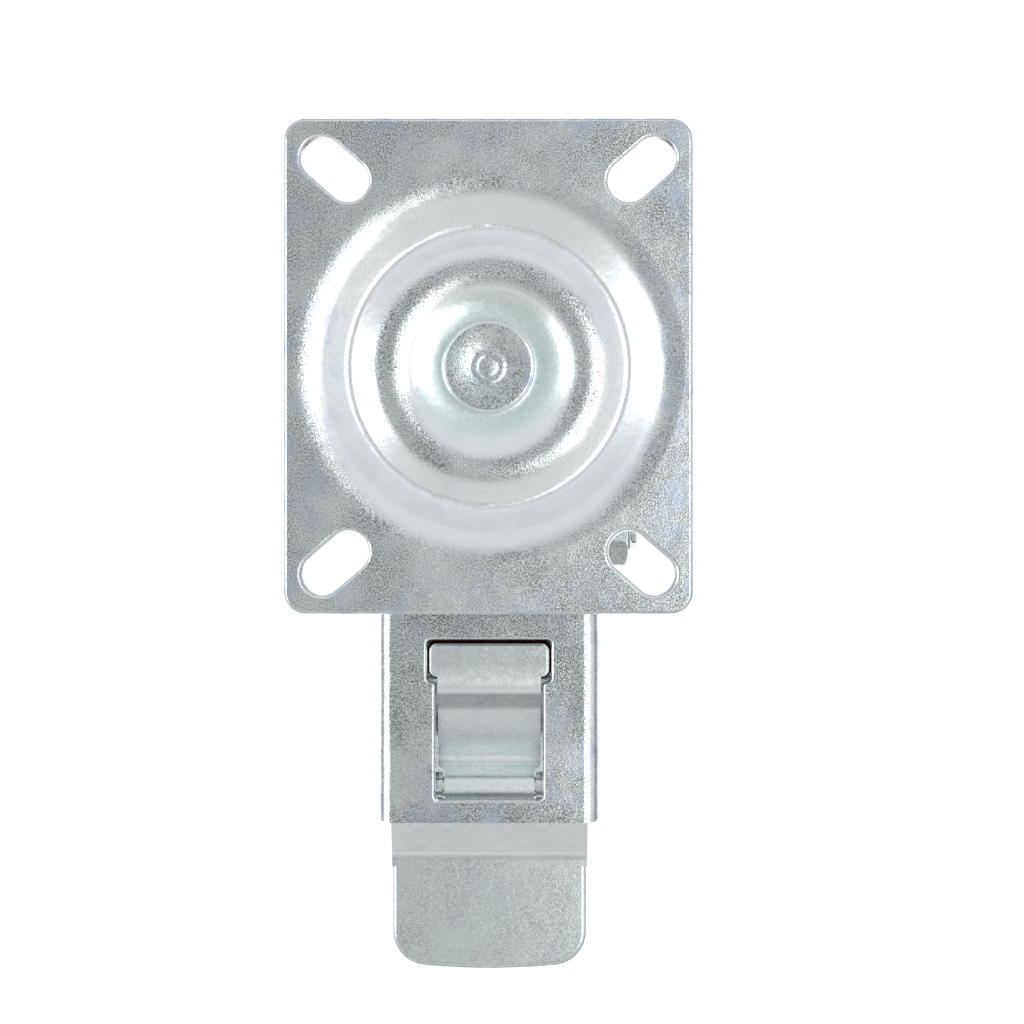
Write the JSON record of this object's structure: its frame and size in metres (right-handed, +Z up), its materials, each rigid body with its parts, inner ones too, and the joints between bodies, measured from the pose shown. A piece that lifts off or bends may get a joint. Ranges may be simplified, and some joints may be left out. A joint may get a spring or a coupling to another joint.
{
  "type": "swivel castor",
  "caption": "Plate castor with a swivelling fork, a large wheel and one pedal that locks both the wheel and the swivel, for carrying a gate or a heavy frame.",
  "frame": {"origin": "on the swivel axis, at the plate's top face", "axes": "+Z up out of the plate, X along the axle, -Y towards the pedal"},
  "size_m": [0.1116, 0.238, 0.237],
  "materials": {
    "zinc_sheet": "satin",
    "zinc_hardware": "satin",
    "bearing_steel": "polished",
    "polyurethane": "satin",
    "core_plastic": "matte",
    "nylon": "matte",
    "seal_rubber": "matte"
  },
  "bodies": {
    "mounting": {"top_plate": "zinc_sheet", "king_pin": "zinc_hardware", "lower_race": "zinc_hardware", "lock_ring": "zinc_hardware"},
    "fork": {"fork": "zinc_sheet", "upper_balls": "bearing_steel", "lower_balls": "bearing_steel", "axle_bolt": "zinc_hardware", "axle_nut": "zinc_hardware", "nut_insert": "nylon", "axle_tube": "zinc_hardware", "axle_washer_left": "zinc_hardware", "axle_washer_right": "zinc_hardware", "bearing_inner_left": "bearing_steel", "bearing_inner_right": "bearing_steel", "pedal_pin": "zinc_hardware", "pedal_sleeve_left": "zinc_hardware", "pedal_sleeve_right": "zinc_hardware", "brake_pin": "zinc_hardware"},
    "pedal": {"pedal": "zinc_sheet", "pedal_bracket": "zinc_sheet"},
    "brake": {"brake_lever": "zinc_sheet", "brake_shoe": "zinc_hardware", "shoe_rivets": "zinc_hardware"},
    "wheel": {"wheel_core": "core_plastic", "tread": "polyurethane", "bearing_outer_left": "bearing_steel", "bearing_outer_right": "bearing_steel", "bearing_balls_left": "bearing_steel", "bearing_balls_right": "bearing_steel", "bearing_shield_left": "seal_rubber", "bearing_shield_right": "seal_rubber"}
  },
  "joints": [
    {"name": "swivel", "type": "hinge", "parent": "mounting", "child": "fork", "pos_m": [0, 0, 0], "axis": [0, 0, 1], "continuous": true},
    {"name": "wheel_spin", "type": "hinge", "parent": "fork", "child": "wheel", "pos_m": [0, -0.046, -0.137], "axis": [1, 0, 0], "continuous": true},
    {"name": "pedal_tilt", "type": "hinge", "parent": "fork", "child": "pedal", "pos_m": [0, -0.1178, -0.03305], "axis": [1, 0, 0], "range_deg": [0, 18]},
    {"name": "brake_tilt", "type": "hinge", "parent": "fork", "child": "brake", "pos_m": [0, -0.07, -0.0305], "axis": [1, 0, 0], "range_deg": [0, 4.05]}
  ],
  "couplings": [
    {"joint": "brake_tilt", "follows": "pedal_tilt", "ratio": 0.2222}
  ]
}
